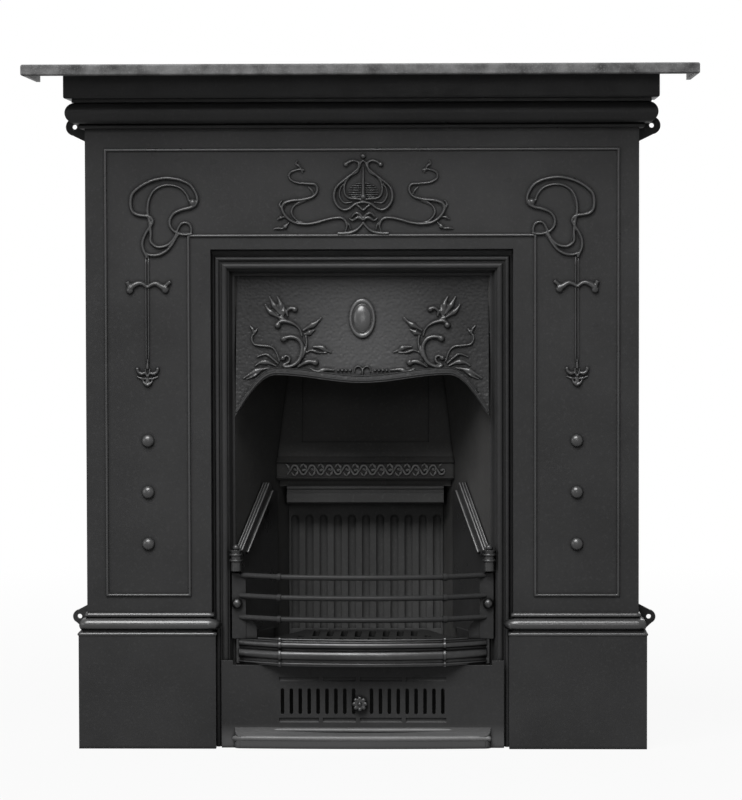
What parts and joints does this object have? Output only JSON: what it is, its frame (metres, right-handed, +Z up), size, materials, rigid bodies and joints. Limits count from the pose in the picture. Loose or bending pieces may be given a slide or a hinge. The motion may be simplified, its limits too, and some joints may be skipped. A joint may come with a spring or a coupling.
{
  "type": "cast iron fireplace",
  "caption": "Cast iron combination fireplace with mantel shelf, moulded surround, hooded fire chamber, bowed grate, damper and ash pit front with an air slide.",
  "frame": {"origin": "on the floor at the middle of the bounding box, which puts the wall plane at y = 0", "axes": "+Z up, the front faces -Y, +X to the right seen from the front"},
  "size_m": [0.965, 0.34, 0.99],
  "materials": {
    "black_iron": "satin black stove polish",
    "shelf_iron": "coarse satin graphite",
    "sooted_iron": "matt black",
    "steel": "blackened steel"
  },
  "bodies": {
    "root": {"surround": "black_iron", "mantel_shelf": "shelf_iron", "shelf_bolts": "steel", "insert_frame": "black_iron", "insert_clips": "steel", "hood": "black_iron", "hood_bolts": "steel", "left_coving": "sooted_iron", "right_coving": "sooted_iron", "fireback": "sooted_iron", "upper_back": "sooted_iron", "back_bolts": "steel", "smoke_plate": "sooted_iron", "damper_hinge_pin": "steel", "left_grate_cheek": "black_iron", "right_grate_cheek": "black_iron", "cheek_bolts": "steel", "grate_nosing": "black_iron", "nosing_bolts": "steel"},
    "damper": {"damper_flap": "sooted_iron", "damper_pull": "steel"},
    "bar_front": {"front_bars": "black_iron", "left_bar_stud": "black_iron", "right_bar_stud": "black_iron"},
    "grate": {"bottom_grate": "sooted_iron"},
    "ash_front": {"ashpit_cover": "black_iron", "slide_guides": "steel", "guide_rivets": "black_iron"},
    "air_valve": {"air_slide": "black_iron", "slide_knob": "black_iron", "slide_nut": "steel"}
  },
  "joints": [
    {"name": "damper_hinge", "type": "hinge", "parent": "root", "child": "damper", "pos_m": [0, 0.124, 0.6132], "axis": [-1, 0, 0], "range_deg": [0, 100]},
    {"name": "bars_pull", "type": "slide", "parent": "root", "child": "bar_front", "axis": [0, -1, 0], "range_m": [0, 0.12]},
    {"name": "grate_lift", "type": "slide", "parent": "root", "child": "grate", "axis": [0, 0, 1], "range_m": [0, 0.1]},
    {"name": "cover_pull", "type": "slide", "parent": "root", "child": "ash_front", "axis": [0, -1, 0], "range_m": [0, 0.15]},
    {"name": "air_slide_travel", "type": "slide", "parent": "ash_front", "child": "air_valve", "axis": [1, 0, 0], "range_m": [0, 0.0065]}
  ]
}
